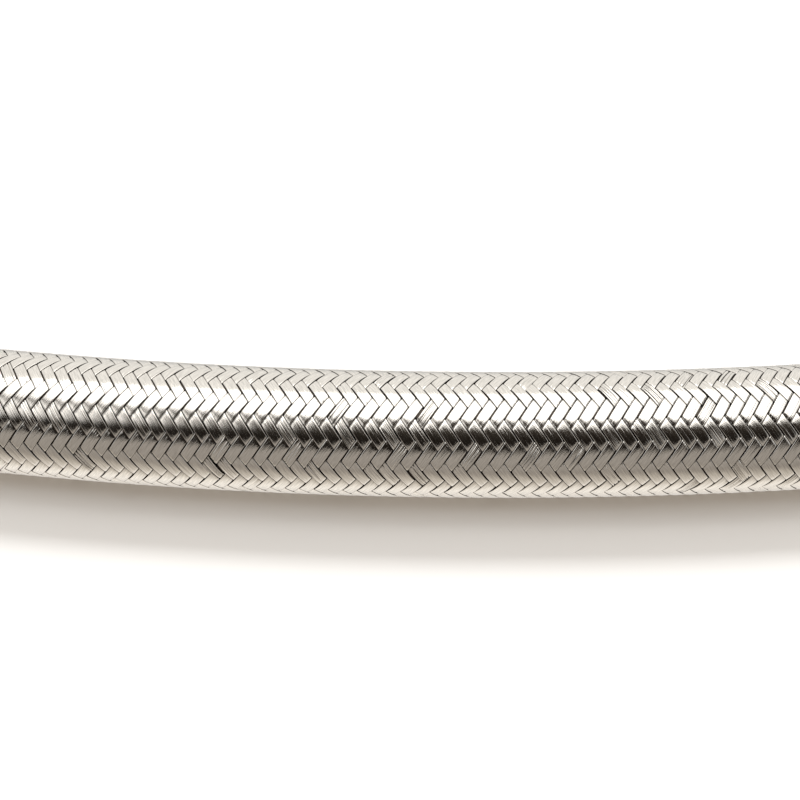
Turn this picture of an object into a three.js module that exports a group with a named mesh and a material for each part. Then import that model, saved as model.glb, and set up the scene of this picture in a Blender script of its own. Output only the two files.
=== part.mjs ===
// Braided hose: a short cut length, lying on its side in a gentle bend.
// A rubber liner carries the fluid, and a tight braid of flat steel strands holds it in.
// Millimetres, +Z up. The hose runs along X, its ends bend towards +Y, and its lowest line is at Z = 0.
import * as THREE from "three";

// Driving dimensions
const hoseLength = 148; // along the middle line, between the two square cuts
const bendRadius = 440; // of the middle line
const boreDiameter = 14.3;
const linerWall = 1.85;
const linerToBraidGap = 0.3; // clearance between the rubber and the steel
const braidWall = 0.4; // steel left under the grooves between the strands
const strandRelief = 0.3; // how far a strand's crown stands above the grooves
const braidAngle = 57.5; // degrees between a strand and the hose's line
const strandSpacing = 1.875; // across the strands, from one to the next that leans the same way
const smoothSides = 20; // flats round the rubber and round the braid's inside
const bendSteps = 8; // straight stretches along the rubber and along the braid's inside

const boreRadius = boreDiameter / 2;
const linerRadius = boreRadius + linerWall;
const braidInnerRadius = linerRadius + linerToBraidGap;
const grooveRadius = braidInnerRadius + braidWall;
const crownRadius = grooveRadius + strandRelief;

// A float is the stretch where a strand lies on top. Each strand goes over two others and under two,
// so the floats lie in bands along the hose that lean by turns one way and the other. Each band is two
// crossings wide, and there are half as many pairs of bands as strands each way. A strand climbs one
// crossing round the hose for each crossing along it.
const braidLean = THREE.MathUtils.degToRad(braidAngle);
const bandPairs = Math.round((Math.PI * crownRadius * Math.cos(braidLean)) / strandSpacing);
const crossingsPerPair = 4;
const crossingsRound = crossingsPerPair * bandPairs;
const crossingWidth = (2 * Math.PI * crownRadius) / crossingsRound;
const crossingsLong = Math.round((hoseLength * Math.tan(braidLean)) / crossingWidth);

// Bends a straight hose that runs along X, so that both its ends turn towards +Y.
function bend(geometry) {
  const position = geometry.attributes.position;
  for (let i = 0; i < position.count; i++) {
    const turn = position.getX(i) / bendRadius;
    const fromBendCentre = bendRadius - position.getY(i);
    position.setX(i, fromBendCentre * Math.sin(turn));
    position.setY(i, bendRadius - fromBendCentre * Math.cos(turn));
  }
  geometry.computeVertexNormals();
  return geometry;
}

function innerLiner() {
  const section = new THREE.Shape().absarc(0, 0, linerRadius, 0, 2 * Math.PI, false);
  section.holes.push(new THREE.Path().absarc(0, 0, boreRadius, 0, 2 * Math.PI, true));
  const tube = new THREE.ExtrudeGeometry(section, {
    depth: hoseLength,
    steps: bendSteps,
    curveSegments: smoothSides / 2,
    bevelEnabled: false,
  });
  tube.translate(0, 0, -hoseLength / 2).rotateY(Math.PI / 2);
  const rubber = new THREE.MeshStandardMaterial({ color: 0x17171a, roughness: 0.8, metalness: 0 });
  const mesh = new THREE.Mesh(bend(tube), rubber);
  mesh.name = "inner_liner";
  return mesh;
}

// Points of one cross-section, counted from the front (-Y) up over the top.
function sectionPoints(sides, radiusOf) {
  return Array.from({ length: sides }, (_, c) => {
    const angle = ((c + 0.5) / sides) * 2 * Math.PI;
    return new THREE.Vector2(Math.cos(angle), Math.sin(angle)).multiplyScalar(radiusOf(c));
  });
}

// Adds sections at even steps along the straight hose, and returns the point numbers of each.
function addRings(points, steps, sides, radiusOf) {
  return Array.from({ length: steps + 1 }, (_, m) => {
    const x = (m / steps - 0.5) * hoseLength;
    const first = points.length;
    points.push(...sectionPoints(sides, (c) => radiusOf(c, m)).map((p) => new THREE.Vector3(x, -p.x, p.y)));
    return Array.from({ length: sides }, (_, c) => first + c);
  });
}

// Two strands cross at every other point of the braid's outside. The points between are grooves.
const isCrossing = (c, m) => (c + m) % 2 === 0;
const outerRadius = (c, m) => (isCrossing(c, m) ? crownRadius : grooveRadius);

// Whether the square after column c and row m lies inside one float, along its ridge.
function isOnRidge(c, m) {
  const firstColumnOfBand = isCrossing(c, m) ? 0 : crossingsPerPair / 2;
  return c % crossingsPerPair === firstColumnOfBand;
}

// The braid as one wall. Each square of the outside is folded along the strand's ridge where it lies
// inside a float, and along the groove between two floats everywhere else.
function braidWallGeometry() {
  const points = [];
  const index = [];
  const addSquare = ([a, b, c, d]) => index.push(a, b, c, a, c, d);

  const outside = addRings(points, crossingsLong, crossingsRound, outerRadius);
  for (let m = 0; m < crossingsLong; m++) {
    for (let c = 0; c < crossingsRound; c++) {
      const next = (c + 1) % crossingsRound;
      const square = [outside[m][c], outside[m + 1][c], outside[m + 1][next], outside[m][next]];
      const foldsAtFirstCorner = isCrossing(c, m) === isOnRidge(c, m);
      if (!foldsAtFirstCorner) square.push(square.shift());
      addSquare(square);
    }
  }

  const inside = addRings(points, bendSteps, smoothSides, () => braidInnerRadius);
  for (let m = 0; m < bendSteps; m++) {
    for (let c = 0; c < smoothSides; c++) {
      const next = (c + 1) % smoothSides;
      addSquare([inside[m][next], inside[m + 1][next], inside[m + 1][c], inside[m][c]]);
    }
  }

  const cutFace = (m) => {
    const rim = sectionPoints(crossingsRound, (c) => outerRadius(c, m));
    const hole = sectionPoints(smoothSides, () => braidInnerRadius);
    return THREE.ShapeUtils.triangulateShape(rim, [hole]).flat();
  };
  const startPoints = [...outside[0], ...inside[0]];
  index.push(...cutFace(0).map((i) => startPoints[i]));
  const farPoints = [...outside[crossingsLong], ...inside[bendSteps]];
  index.push(...cutFace(crossingsLong).reverse().map((i) => farPoints[i]));

  return new THREE.BufferGeometry().setFromPoints(points).setIndex(index);
}

function steelBraid() {
  const steel = new THREE.MeshStandardMaterial({
    color: 0xc9c4bb,
    roughness: 0.28,
    metalness: 1,
    flatShading: true,
  });
  const mesh = new THREE.Mesh(bend(braidWallGeometry()), steel);
  mesh.name = "steel_braid";
  return mesh;
}

const hose = new THREE.Group();
hose.add(innerLiner(), steelBraid());

// The hose rests on its lowest line, with its box centred over the origin.
const box = new THREE.Box3().setFromObject(hose, true);
const centre = box.getCenter(new THREE.Vector3());
hose.position.set(-centre.x, -centre.y, -box.min.z);

export default hose;
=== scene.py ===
import math

import bpy
import numpy as np
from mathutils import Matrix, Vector


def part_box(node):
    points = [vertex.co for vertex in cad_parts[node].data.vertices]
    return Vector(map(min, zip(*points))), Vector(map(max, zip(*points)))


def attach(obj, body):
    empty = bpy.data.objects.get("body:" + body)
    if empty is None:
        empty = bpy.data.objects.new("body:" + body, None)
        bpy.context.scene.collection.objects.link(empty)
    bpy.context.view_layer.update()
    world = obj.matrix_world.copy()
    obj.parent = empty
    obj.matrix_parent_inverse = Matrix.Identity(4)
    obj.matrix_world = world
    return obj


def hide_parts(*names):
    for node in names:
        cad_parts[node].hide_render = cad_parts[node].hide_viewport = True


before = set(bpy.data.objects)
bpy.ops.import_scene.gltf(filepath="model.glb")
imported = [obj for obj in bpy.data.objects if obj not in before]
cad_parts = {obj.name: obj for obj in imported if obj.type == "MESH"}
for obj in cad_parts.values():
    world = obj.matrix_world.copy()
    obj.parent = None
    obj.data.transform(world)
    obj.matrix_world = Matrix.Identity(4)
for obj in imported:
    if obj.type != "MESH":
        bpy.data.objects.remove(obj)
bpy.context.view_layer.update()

mm = 0.001
rng = np.random.default_rng(11)

# Everything that follows the hose is worked out from these, in millimetres.
hose = {
    "length": 148.0,        # along the middle line
    "bendRadius": 440.0,    # of the middle line
    "boreRadius": 7.15,
    "braidLean": 57.5,      # degrees between a strand and the hose's line
    "crossingsRound": 36,
    "crossingsLong": 133,
    "pathPoints": 61,       # of the cord's middle line
}
columnAngle = 2 * math.pi / hose["crossingsRound"]
braidLow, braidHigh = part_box("steel_braid")
crownRadius = (braidHigh[2] - braidLow[2]) / 2 / mm
middle = np.array([0.0, braidLow[1] + crownRadius * mm, braidLow[2] + crownRadius * mm])


# Where a point of the straight hose lies in the row frame. Along is measured on the middle line, the
# angle from the front up over the top, and the radius out from the line. The line becomes an arc, so
# a point turns about the bend's centre by along / bendRadius, at bendRadius plus its share out of the bend.
def placeOnHose(along, angle, radius):
    reach = hose["bendRadius"] + radius * np.cos(angle)
    turn = along / hose["bendRadius"]
    x = reach * np.sin(turn)
    y = hose["bendRadius"] - reach * np.cos(turn)
    z = radius * np.sin(angle) + 0 * turn
    return np.stack([x, y, z], axis=-1) * mm + middle


# Smooth random change along the hose: a random value at each knot, eased into the next one by
# the curve 3t^2 - 2t^3. There are a few knots more than the hose needs.
def wander(shape, alongSteps, knotSpacing):
    knots = int(hose["length"] / knotSpacing) + 3
    values = rng.standard_normal((*shape, knots))
    place = np.linspace(0, knots - 2, alongSteps)
    before = np.floor(place).astype(int)
    t = place - before
    t = t * t * (3 - 2 * t)
    return values[..., before] * (1 - t) + values[..., before + 1] * t


# A mesh from rows of points: points[tube, station, place round the section]. Each tube is closed
# round, and capped at both ends. Squares split along one diagonal or, from the next place, the other.
def tubesMesh(name, points, uv, depth, creased, splitFromNext):
    tubes, stations, around = points.shape[:3]
    t, k, p = np.meshgrid(np.arange(tubes), np.arange(stations - 1), np.arange(around), indexing="ij")
    corner = lambda dk, dp: (t * stations + k + dk) * around + (p + dp) % around
    order = [(1, 0), (1, 1), (0, 1), (0, 0)] if splitFromNext else [(0, 0), (1, 0), (1, 1), (0, 1)]
    squares = np.stack([corner(*o) for o in order], axis=-1).reshape(-1, 4)
    first = np.arange(tubes)[:, None] * stations * around + np.arange(around)[None, :]
    last = (first + (stations - 1) * around)[:, ::-1]
    mesh = bpy.data.meshes.new(name)
    mesh.from_pydata(points.reshape(-1, 3), [], squares.tolist() + first.tolist() + last.tolist(),
                     shade_flat=False)
    wireUv = np.stack([uv[t, k + dk, p + dp] for dk, dp in order], axis=3).reshape(-1, 2)
    capUv = np.concatenate([uv[:, 0, :around].reshape(-1, 2), uv[:, -1, :around][:, ::-1].reshape(-1, 2)])
    mesh.uv_layers.new(name="wireMap").data.foreach_set("uv", np.concatenate([wireUv, capUv]).ravel())
    ends = np.empty(len(mesh.edges) * 2, dtype=np.int32)
    mesh.edges.foreach_get("vertices", ends)
    ends = ends.reshape(-1, 2)
    place, station = ends % around, ends // around % stations
    alongCrease = (place[:, 0] == place[:, 1]) & creased[place[:, 0]]
    onCap = (station[:, 0] == station[:, 1]) & np.isin(station[:, 0], (0, stations - 1))
    sharp = mesh.attributes.new("sharp_edge", "BOOLEAN", "EDGE")
    sharp.data.foreach_set("value", alongCrease | onCap)
    mesh.attributes.new("depth", "FLOAT", "POINT").data.foreach_set("value", depth.ravel())
    mesh.update()
    piece = bpy.data.objects.new(name, mesh)
    bpy.context.collection.objects.link(piece)
    return piece


# Camera, at the photograph's viewing angle.
view = {
    "azimuth": 2.2, "elevation": 31.0,      # degrees
    "distance": 0.295,                      # metres, from the middle of the hose
    "focal": 1866, "frameWide": 800,        # pixels
    "sensorWide": 36, "nearest": 0.01,
    "right": 0.17,                          # millimetres, from the hose's middle to the picture's
    "hoseBelowMiddle": 33.8,                # pixels
}


# It stands back from the target by the distance, along the azimuth and the elevation. Then it is raised
# by the angle whose tangent is the pixels below the middle over the focal length in pixels.
def makeCamera():
    azimuth, elevation = math.radians(view["azimuth"]), math.radians(view["elevation"])
    back = Vector((math.sin(azimuth) * math.cos(elevation), -math.cos(azimuth) * math.cos(elevation),
                   math.sin(elevation)))
    target = Vector(middle) + Vector((view["right"] * mm, 0, 0))
    camera = bpy.data.objects.new("camera", bpy.data.cameras.new("camera"))
    bpy.context.collection.objects.link(camera)
    camera.location = target + back * view["distance"]
    raised = math.atan(view["hoseBelowMiddle"] / view["focal"])
    gaze = -back
    side = gaze.cross(Vector((0, 0, 1))).normalized()
    gaze = gaze * math.cos(raised) + side.cross(gaze) * math.sin(raised)
    camera.rotation_mode = "QUATERNION"
    camera.rotation_quaternion = gaze.to_track_quat("-Z", "Y")
    camera.data.sensor_width = view["sensorWide"]
    camera.data.lens = view["sensorWide"] * view["focal"] / view["frameWide"]
    camera.data.clip_start = view["nearest"]
    bpy.context.scene.camera = camera


makeCamera()
print("camera made")


# Rubber liner: one closed wall. Its section, taken along the hose, goes out along the outside, round
# the cut edge, back along the bore and round the other edge, and is turned about the middle line.
liner = {"radius": 9.45, "edgeRound": 0.18, "edgeSteps": 4, "alongSteps": 72, "around": 120}


def makeLiner():
    half, edge = hose["length"] / 2, liner["edgeRound"]
    along = np.linspace(-half + edge, half - edge, liner["alongSteps"])
    quarter = np.linspace(0, math.pi / 2, liner["edgeSteps"] + 1)
    outward, inward = liner["radius"] - edge, hose["boreRadius"] + edge
    section = np.concatenate([
        np.stack([along, np.full_like(along, liner["radius"])], axis=1),
        np.stack([half - edge + edge * np.sin(quarter), outward + edge * np.cos(quarter)], axis=1)[1:],
        np.stack([half - edge + edge * np.cos(quarter), inward - edge * np.sin(quarter)], axis=1),
        np.stack([along[::-1], np.full_like(along, hose["boreRadius"])], axis=1)[1:],
        np.stack([-half + edge - edge * np.sin(quarter), inward - edge * np.cos(quarter)], axis=1)[1:],
        np.stack([-half + edge - edge * np.cos(quarter), outward + edge * np.sin(quarter)], axis=1)[:-1],
    ])
    angle = np.arange(liner["around"]) * 2 * math.pi / liner["around"]
    points = placeOnHose(section[None, :, 0], angle[:, None], section[None, :, 1])
    a, s = np.meshgrid(np.arange(len(angle)), np.arange(len(section)), indexing="ij")
    at = lambda da, ds: (a + da) % len(angle) * len(section) + (s + ds) % len(section)
    faces = np.stack([at(0, 0), at(0, 1), at(1, 1), at(1, 0)], axis=-1).reshape(-1, 4)
    mesh = bpy.data.meshes.new("rubber_liner")
    mesh.from_pydata(points.reshape(-1, 3), [], faces.tolist(), shade_flat=False)
    piece = bpy.data.objects.new("rubber_liner", mesh)
    bpy.context.collection.objects.link(piece)
    return piece


# Steel strands. A strand is a flat ribbon of wires side by side. It climbs one crossing round the hose
# for each crossing along it, and rides over two strands of the other lean and under two.
strand = {
    "wires": 9, "wireDiameter": 0.2, "wireSpacing": 0.185,
    "wireRelief": 0.01,         # how deep the valleys between its wires are
    "crown": 0.018,             # how much lower its edges lie than its middle
    "edgeDrop": 0.015,          # and how much more the last wires lie lower
    "weave": 0.14,              # how far it swings out over the others, and in under them
    "dive": 5.0,                # how sharply it goes under
    "arch": 0.5,                # share of the swing that is a slow arch along each stretch on top
    "topMiddle": {1: 0.5, -1: 2.5},     # crossings, to the first stretch on top, by the strand's lean
    "stations": (-0.7, -0.35, -0.16, -0.06, 0.06, 0.16, 0.35, 0.7),   # crossings, from each dive
    "strandsPerPiece": 6, "pastTheCut": 1.0,                  # crossings, before it is cut flush
    "cutApart": 0.001,                          # crossings, between the stations pushed back to a cut
    "sideWander": 0.03, "sideKnots": 9.0,       # how far it strays, and how far apart along the hose
    "wireWander": 0.006, "liftWander": 0.007, "wireKnots": 4.0,     # the same for each wire
    "looseWander": 0.07, "looseLift": 0.06, "looseKnots": 6.0,      # and more of it where wires are loose
    "looseFrom": 0.8, "looseMost": 1.2,         # the lower the first, the more stretches have loose wires
    "liftMost": 0.02, "gapSink": 2,             # times the gap between two wires that are apart
    "streakShift": 3.7,                         # millimetres, from one strand's streaks to the next
    "deepFrom": 0.4, "deepTo": -0.5,            # of the swing, where the painted shade of depth begins and where it is fullest
    "sideDeep": 0.3,                            # how much painted shade its round sides get, as a depth
}


# How far in or out a strand lies, from 1 on top to -1 below, for a distance in crossings from the
# middle of the stretch on top. The cosine of the distance is a slow arch. Multiplied, cut off at 1 and
# -1 and rounded by the sine, it is a level stretch with a short dive at each end. The two are mixed.
def overUnder(distance):
    wave = np.cos(math.pi / 2 * distance)
    level = np.sin(math.pi / 2 * np.clip(strand["dive"] * wave, -1, 1))
    return level * (1 - strand["arch"]) + wave * strand["arch"]


# A strand's section, across its width: over the first edge wire's round side, over each crest and
# valley in turn, down the last wire's round side, and back along the flat underside.
def makeStrands(name, lean, firstColumns):
    count, wires, radius = len(firstColumns), strand["wires"], strand["wireDiameter"] / 2
    topMiddle = strand["topMiddle"][lean]
    # A strand dives every two crossings, and its stations are closest together there.
    dives = np.arange(topMiddle * lean - 3, hose["crossingsLong"] + 4, 2)
    stations = (dives[:, None] + np.array(strand["stations"])[None, :]).ravel()
    past = strand["pastTheCut"]
    stations = stations[(stations > -past) & (stations < hose["crossingsLong"] + past)]
    steps = len(stations)
    loose = wander((count, 1), steps, strand["looseKnots"]) - strand["looseFrom"]
    loose = np.clip(loose, 0, strand["looseMost"])
    side = wander((count, 1), steps, strand["sideKnots"]) * strand["sideWander"]
    across = (np.arange(wires) - (wires - 1) / 2)[None, :, None] * strand["wireSpacing"] + side
    stray = wander((count, wires), steps, strand["wireKnots"])
    across = np.sort(across + stray * (strand["wireWander"] + strand["looseWander"] * loose), axis=1)
    lift = wander((count, wires), steps, strand["wireKnots"])
    lift = np.minimum(lift * (strand["liftWander"] + strand["looseLift"] * loose), strand["liftMost"])
    gap = np.clip(np.diff(across, axis=1) - strand["wireDiameter"], 0, radius)
    valley = (across[:, 1:] + across[:, :-1]) / 2
    valleyHeight = np.minimum(lift[:, 1:], lift[:, :-1]) + radius - strand["wireRelief"]
    valleyHeight = valleyHeight - gap * strand["gapSink"]
    slant = radius * math.sin(math.pi / 4)
    crests = np.stack([across, lift + radius])
    valleys = np.stack([valley, valleyHeight])
    top = np.empty((2, count, 2 * wires - 1, steps))
    top[:, :, 0::2], top[:, :, 1::2] = crests, valleys
    roundSide = [(radius, 0), (slant, slant)]
    firstEdge = [np.stack([across[:, 0] - out, lift[:, 0] + up]) for out, up in roundSide]
    lastEdge = [np.stack([across[:, -1] + out, lift[:, -1] + up]) for out, up in roundSide[::-1]]
    under = [np.stack([place, np.full_like(place, -radius)])
             for place in (across[:, -1] - radius, (across[:, 0] + across[:, -1]) / 2, across[:, 0] + radius)]
    parts = [np.stack(firstEdge, axis=2), top, np.stack(lastEdge + under, axis=2)]
    sideways, height = np.moveaxis(np.concatenate(parts, axis=2), 2, 3)
    around = sideways.shape[2]
    toEdge = np.clip(sideways / (wires * strand["wireDiameter"] / 2), -1, 1)
    height = height - strand["crown"] * toEdge ** 2 - strand["edgeDrop"] * toEdge ** 6
    # At a fixed place along the hose a point to the side lies round it by side / cos(lean). The dives
    # follow the edges of the strands that it crosses, so half of that is a step along the hose instead.
    offset = sideways / math.cos(math.radians(hose["braidLean"])) / (crownRadius * columnAngle)
    # What lies past a cut is pushed back to it, a hair apart so that no two stations fall together.
    apart = np.arange(steps)[None, :, None] * strand["cutApart"]
    latest = hose["crossingsLong"] - apart[:, ::-1]
    row = np.clip(stations[None, :, None] - lean * offset / 2, apart, latest)
    centre = np.asarray(firstColumns, float)[:, None, None] + lean * row
    along = (row / hose["crossingsLong"] - 0.5) * hose["length"]
    middleRadius = crownRadius - radius - strand["weave"]
    swing = overUnder(centre + offset / 2 - topMiddle)
    out = middleRadius + strand["weave"] * swing + height
    points = placeOnHose(along, (centre + offset + 0.5) * columnAngle, out)
    wireLength = along / math.cos(math.radians(hose["braidLean"]))
    uv = np.stack([wireLength, sideways], axis=-1)
    uv = np.concatenate([uv, uv[:, :, :1]], axis=2)
    uv = uv + np.asarray(firstColumns, float)[:, None, None, None] * strand["streakShift"]
    # How deep in the braid a point lies, from 0 on top to 1: by its swing, and by its place on the section.
    # It sets how much painted shade the metal gets there.
    sideDeep = strand["sideDeep"]
    flank = np.array([sideDeep, 0.0] + [0.0] * (2 * wires - 1) + [0.0, sideDeep, 1.0, 1.0, 1.0])
    dived = (strand["deepFrom"] - swing) / (strand["deepFrom"] - strand["deepTo"])
    depth = np.maximum(np.clip(dived, 0, 1), flank)
    # The valleys between the wires stay sharp.
    creased = np.zeros(around, bool)
    creased[3:2 * wires + 1:2] = True
    return tubesMesh(name, points, uv, depth, creased, splitFromNext=lean > 0)


# Every second column begins a strand of each lean, and the strands are shared out among the pieces.
def makeBraid():
    columns = list(range(0, hose["crossingsRound"], 2))
    pieces = []
    for lean, word in ((1, "rising"), (-1, "falling")):
        for group in range(0, len(columns), strand["strandsPerPiece"]):
            number = group // strand["strandsPerPiece"] + 1
            chosen = columns[group:group + strand["strandsPerPiece"]]
            pieces.append(makeStrands(f"{word}_strands_{number}", lean, chosen))
    return pieces


linerPiece = makeLiner()
print("liner made")
strandPieces = makeBraid()
print("strands made:", len(strandPieces), "pieces")


# Materials
def newMaterial(name):
    material = bpy.data.materials.new(name)
    material.use_nodes = True
    nodes, links = material.node_tree.nodes, material.node_tree.links
    return material, nodes, links, nodes["Principled BSDF"]


steel = {
    "colour": (0.78, 0.75, 0.705, 1), "roughness": (0.1, 0.2),
    "streaks": (0.6, 6.0, 1.0), "streakDetail": 3.0,                        # per millimetre along and across
    "streakShade": 0.78, "shadedTo": 0.3, "clearFrom": 0.65,                # of the noise
    "smoothTo": 0.3, "roughFrom": 0.7,
    "crevicePaintedShade": (0.05, 0.042, 0.034, 1), "crevicePaintedShadeFrom": 0.15, "crevicePaintedShadeTo": 0.75,   # painted shade colour, and the depth in the braid where it begins and where it is full
}


# A noise stretched along the wires shades the metal and sets its roughness. The depth in the braid mixes in
# painted shade, dark where strands dive under others and on their round sides.
def steelMaterial():
    material, nodes, links, shader = newMaterial("drawn_stainless_wire")
    shader.inputs["Metallic"].default_value = 1.0
    place = nodes.new("ShaderNodeUVMap")
    place.uv_map = "wireMap"
    stretch = nodes.new("ShaderNodeMapping")
    stretch.inputs["Scale"].default_value = steel["streaks"]
    links.new(place.outputs["UV"], stretch.inputs["Vector"])
    streaks = nodes.new("ShaderNodeTexNoise")
    streaks.inputs["Scale"].default_value = 1.0
    streaks.inputs["Detail"].default_value = steel["streakDetail"]
    links.new(stretch.outputs["Vector"], streaks.inputs["Vector"])
    tint = nodes.new("ShaderNodeValToRGB")
    tint.color_ramp.elements[0].position = steel["shadedTo"]
    tint.color_ramp.elements[0].color = [c * steel["streakShade"] for c in steel["colour"][:3]] + [1]
    tint.color_ramp.elements[1].position = steel["clearFrom"]
    tint.color_ramp.elements[1].color = steel["colour"]
    links.new(streaks.outputs["Fac"], tint.inputs["Fac"])
    depth = nodes.new("ShaderNodeAttribute")
    depth.attribute_name = "depth"
    deep = nodes.new("ShaderNodeMapRange")
    deep.interpolation_type = "SMOOTHSTEP"
    deep.inputs["From Min"].default_value = steel["crevicePaintedShadeFrom"]
    deep.inputs["From Max"].default_value = steel["crevicePaintedShadeTo"]
    links.new(depth.outputs["Fac"], deep.inputs["Value"])
    # Painted shade: a near-black colour mixed in by the depth attribute, darkening the crevices and strand
    # sides.
    withPaintedShade = nodes.new("ShaderNodeMix")
    withPaintedShade.data_type = "RGBA"
    links.new(deep.outputs["Result"], withPaintedShade.inputs["Factor"])
    links.new(tint.outputs["Color"], withPaintedShade.inputs["A"])
    withPaintedShade.inputs["B"].default_value = steel["crevicePaintedShade"]
    links.new(withPaintedShade.outputs["Result"], shader.inputs["Base Color"])
    rough = nodes.new("ShaderNodeMapRange")
    rough.inputs["From Min"].default_value = steel["smoothTo"]
    rough.inputs["From Max"].default_value = steel["roughFrom"]
    rough.inputs["To Min"].default_value, rough.inputs["To Max"].default_value = steel["roughness"]
    links.new(streaks.outputs["Fac"], rough.inputs["Value"])
    links.new(rough.outputs["Result"], shader.inputs["Roughness"])
    return material


rubber = {
    "dark": (0.012, 0.012, 0.013, 1), "pale": (0.035, 0.034, 0.034, 1), "roughness": 0.62,
    "grain": 1800.0, "grainDetail": 4.0, "grainStrength": 0.4, "grainDepth": 0.0001,     # per metre, metres
}


# One fine noise tints the rubber between its two blacks and raises its grain.
def rubberMaterial():
    material, nodes, links, shader = newMaterial("black_rubber")
    place = nodes.new("ShaderNodeTexCoord")
    grain = nodes.new("ShaderNodeTexNoise")
    grain.inputs["Scale"].default_value = rubber["grain"]
    grain.inputs["Detail"].default_value = rubber["grainDetail"]
    links.new(place.outputs["Object"], grain.inputs["Vector"])
    tint = nodes.new("ShaderNodeValToRGB")
    tint.color_ramp.elements[0].color = rubber["dark"]
    tint.color_ramp.elements[1].color = rubber["pale"]
    links.new(grain.outputs["Fac"], tint.inputs["Fac"])
    links.new(tint.outputs["Color"], shader.inputs["Base Color"])
    shader.inputs["Roughness"].default_value = rubber["roughness"]
    bump = nodes.new("ShaderNodeBump")
    bump.inputs["Strength"].default_value = rubber["grainStrength"]
    bump.inputs["Distance"].default_value = rubber["grainDepth"]
    links.new(grain.outputs["Fac"], bump.inputs["Height"])
    links.new(bump.outputs["Normal"], shader.inputs["Normal"])
    return material


# A colour for each place from 0 to 1.
def colourRamp(nodes, links, place, levels):
    ramp = nodes.new("ShaderNodeValToRGB")
    stops = ramp.color_ramp.elements
    while len(stops) < len(levels):
        stops.new(0.5)
    for stop, (position, colour) in zip(stops, levels):
        stop.position = position
        stop.color = (*colour, 1)
    links.new(place, ramp.inputs["Fac"])
    return ramp.outputs["Color"]


floor = {
    "size": 4.0, "colour": (0.53, 0.53, 0.53, 1), "roughness": 0.9,
    "seenLight": (0.14, 0.11, 0.08, 1),         # added where the camera sees it, so that it is white
    "mirroredShare": 0.85,                      # of what the metal sees of it, the rest is its own colour
    "mirroredReach": 20,                        # millimetres behind and in front of the hose's middle line
    "paintedReflectionGlow": [                               # millimetres in front of that line, and colour of the painted glow that only the metal sees
        (-20, (0.62, 0.605, 0.58)), (0, (0.72, 0.69, 0.65)), (4.9, (1.02, 0.97, 0.91)),
        (6.5, (1.22, 1.16, 1.09)), (8.3, (1.42, 1.36, 1.27)), (9.8, (1.26, 1.19, 1.09)),
        (12, (0.86, 0.79, 0.7)), (15.5, (0.62, 0.56, 0.48)), (19, (0.32, 0.28, 0.237)),
    ],
}


# Grey under the studio's light, with its own light added where it is seen. In the metal it shows a painted
# glow instead: set colours by the distance from the bend's centre less the bend's radius, brighter than white
# next to the hose and dim in front, a painted reflection.
def makeFloor():
    half = floor["size"] / 2
    mesh = bpy.data.meshes.new("floor")
    corners = [(-half, -half, 0), (half, -half, 0), (half, half, 0), (-half, half, 0)]
    mesh.from_pydata(corners, [], [(0, 1, 2, 3)])
    piece = bpy.data.objects.new("floor", mesh)
    bpy.context.collection.objects.link(piece)
    material, nodes, links, shader = newMaterial("pale_floor")
    shader.inputs["Base Color"].default_value = floor["colour"]
    shader.inputs["Roughness"].default_value = floor["roughness"]
    shader.inputs["Specular IOR Level"].default_value = 0.0
    path = nodes.new("ShaderNodeLightPath")
    seen = nodes.new("ShaderNodeMath")
    seen.operation = "MAXIMUM"
    links.new(path.outputs["Is Camera Ray"], seen.inputs[0])
    links.new(path.outputs["Is Transmission Ray"], seen.inputs[1])
    shader.inputs["Emission Color"].default_value = floor["seenLight"]
    links.new(seen.outputs[0], shader.inputs["Emission Strength"])
    place = nodes.new("ShaderNodeTexCoord")
    fromBendCentre = nodes.new("ShaderNodeVectorMath")
    fromBendCentre.operation = "DISTANCE"
    fromBendCentre.inputs[1].default_value = (0, middle[1] + hose["bendRadius"] * mm, 0)
    links.new(place.outputs["Object"], fromBendCentre.inputs[0])
    reach = floor["mirroredReach"]
    front = nodes.new("ShaderNodeMapRange")
    front.inputs["From Min"].default_value = (hose["bendRadius"] - reach) * mm
    front.inputs["From Max"].default_value = (hose["bendRadius"] + reach) * mm
    links.new(fromBendCentre.outputs["Value"], front.inputs["Value"])
    # Painted reflection: an emission that glossy rays see in place of the floor, so the metal mirrors a
    # glowing strip by the hose.
    paintedReflectionGlow = nodes.new("ShaderNodeEmission")
    tones = [((across + reach) / (2 * reach), colour) for across, colour in floor["paintedReflectionGlow"]]
    links.new(colourRamp(nodes, links, front.outputs["Result"], tones), paintedReflectionGlow.inputs["Color"])
    share = nodes.new("ShaderNodeMath")
    share.operation = "MULTIPLY"
    share.inputs[1].default_value = floor["mirroredShare"]
    links.new(path.outputs["Is Glossy Ray"], share.inputs[0])
    both = nodes.new("ShaderNodeMixShader")
    links.new(share.outputs[0], both.inputs["Fac"])
    links.new(shader.outputs["BSDF"], both.inputs[1])
    links.new(paintedReflectionGlow.outputs["Emission"], both.inputs[2])
    links.new(both.outputs["Shader"], nodes["Material Output"].inputs["Surface"])
    piece.data.materials.append(material)
    return piece


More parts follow.
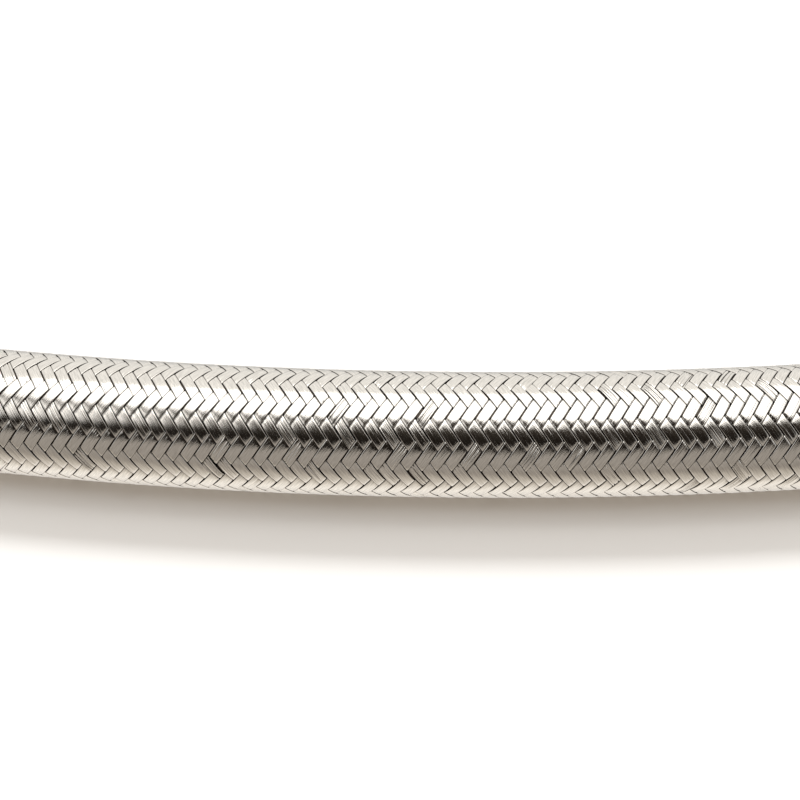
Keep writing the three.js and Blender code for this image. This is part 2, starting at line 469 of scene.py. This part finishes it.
# Studio light. The level follows the angle up from the back horizon, over the top and down to the front:
# a pale wall behind, a softbox overhead and a dark room in front. Then come a lamp on the left and the
# side walls. The camera itself sees a white backdrop. A back lamp that the metal doesn't mirror throws
# the hose's soft shadow forward.
studio = {
    "walls": [                              # degrees from the back horizon, and colour
        (0, (0.92, 0.91, 0.88)), (30, (1.14, 1.12, 1.08)), (83, (1.14, 1.12, 1.08)),
        (90, (0.12, 0.115, 0.11)), (128, (0.15, 0.135, 0.12)), (136, (0.08, 0.067, 0.055)),
        (144, (0.035, 0.028, 0.021)), (156, (0.013, 0.01, 0.0075)), (180, (0.013, 0.01, 0.0075)),
    ],
    "softbox": [(73, (0, 0, 0)), (76, (2.2, 2.18, 2.14)), (126, (2.2, 2.18, 2.14)), (128.5, (0, 0, 0))],
    "softboxMiddle": 102.5, "softboxSlant": 0.8,
    "softboxSlantTo": 0.12,                 # of the direction's x; it is narrower to the left of it
    "softboxHalfWidth": (0.42, 0.55),       # of the direction's x, where it begins to end and ends
    "leftLamp": [(122, (0, 0, 0)), (130, (1.4, 1.38, 1.35)), (149, (1.4, 1.38, 1.35)), (160, (0, 0, 0))],
    "leftLampFrom": (-0.31, -0.39),
    "sideWalls": [
        (0, (0.9, 0.9, 0.88)), (66, (0.9, 0.9, 0.88)), (80, (0.85, 0.84, 0.82)), (165, (0.85, 0.84, 0.82)),
        (175, (0.3, 0.29, 0.28)),
    ],
    "sideWallsFrom": (0.62, 0.8),           # of the direction's x
    "backLamp": 3.2, "backLampHeight": 48, "backLampWidth": 16,        # watts a square metre, degrees
}


def makeWorld():
    world = bpy.data.worlds.new("studio")
    bpy.context.scene.world = world
    world.use_nodes = True
    nodes, links = world.node_tree.nodes, world.node_tree.links
    direction = nodes.new("ShaderNodeTexCoord")
    parts = nodes.new("ShaderNodeSeparateXYZ")
    links.new(direction.outputs["Generated"], parts.inputs["Vector"])
    across = parts.outputs["X"]

    def maths(operation, first, second):
        node = nodes.new("ShaderNodeMath")
        node.operation = operation
        for socket, value in zip(node.inputs, (first, second)):
            if isinstance(value, (int, float)):
                socket.default_value = value
            else:
                links.new(value, socket)
        return node.outputs[0]

    def eased(value, between, fromValue, toValue):
        node = nodes.new("ShaderNodeMapRange")
        node.interpolation_type = "SMOOTHSTEP"
        node.inputs["From Min"].default_value, node.inputs["From Max"].default_value = between
        node.inputs["To Min"].default_value, node.inputs["To Max"].default_value = fromValue, toValue
        links.new(value, node.inputs["Value"])
        return node.outputs["Result"]

    def lightOf(name, place, strength=None):
        levels = [(degrees / 180, colour) for degrees, colour in studio[name]]
        light = colourRamp(nodes, links, place, levels)
        if strength is None:
            return light
        node = nodes.new("ShaderNodeVectorMath")
        node.operation = "SCALE"
        links.new(light, node.inputs[0])
        links.new(strength, node.inputs["Scale"])
        return node.outputs["Vector"]

    def sumOf(first, second):
        node = nodes.new("ShaderNodeVectorMath")
        links.new(first, node.inputs[0])
        links.new(second, node.inputs[1])
        return node.outputs["Vector"]

    angle = maths("DIVIDE", maths("ARCTAN2", parts.outputs["Z"], parts.outputs["Y"]), math.pi)
    away = maths("ABSOLUTE", across, 0.0)
    boxMiddle = studio["softboxMiddle"] / 180
    slanted = maths("MINIMUM", across, studio["softboxSlantTo"])
    narrowing = maths("SUBTRACT", 1.0, maths("MULTIPLY", slanted, studio["softboxSlant"]))
    inBox = maths("ADD", maths("MULTIPLY", maths("SUBTRACT", angle, boxMiddle), narrowing), boxMiddle)
    softbox = lightOf("softbox", inBox, eased(away, studio["softboxHalfWidth"], 1, 0))
    leftLamp = lightOf("leftLamp", angle, eased(across, studio["leftLampFrom"], 0, 1))
    blend = nodes.new("ShaderNodeMix")
    blend.data_type = "RGBA"
    links.new(eased(away, studio["sideWallsFrom"], 0, 1), blend.inputs["Factor"])
    links.new(sumOf(lightOf("walls", angle), sumOf(softbox, leftLamp)), blend.inputs["A"])
    links.new(lightOf("sideWalls", angle), blend.inputs["B"])
    path = nodes.new("ShaderNodeLightPath")
    backdrop = nodes.new("ShaderNodeMix")
    backdrop.data_type = "RGBA"
    seen = maths("MAXIMUM", path.outputs["Is Camera Ray"], path.outputs["Is Transmission Ray"])
    links.new(seen, backdrop.inputs["Factor"])
    links.new(blend.outputs["Result"], backdrop.inputs["A"])
    backdrop.inputs["B"].default_value = (1, 1, 1, 1)
    links.new(backdrop.outputs["Result"], nodes["Background"].inputs["Color"])


def makeBackLamp():
    lamp = bpy.data.objects.new("back_lamp", bpy.data.lights.new("back_lamp", "SUN"))
    bpy.context.collection.objects.link(lamp)
    lamp.data.energy = studio["backLamp"]
    lamp.data.angle = math.radians(studio["backLampWidth"])
    lamp.rotation_euler = (math.radians(studio["backLampHeight"] - 90), 0, 0)
    lamp.visible_glossy = False


makeWorld()
makeBackLamp()
floorPiece = makeFloor()
bpy.context.scene.view_settings.view_transform = "Standard"
print("studio made")

linerPiece.data.materials.append(rubberMaterial())
wireFinish = steelMaterial()
for piece in strandPieces:
    piece.data.materials.append(wireFinish)

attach(linerPiece, "root")
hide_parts("inner_liner")
for piece in strandPieces:
    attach(piece, "root")
    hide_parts("steel_braid")
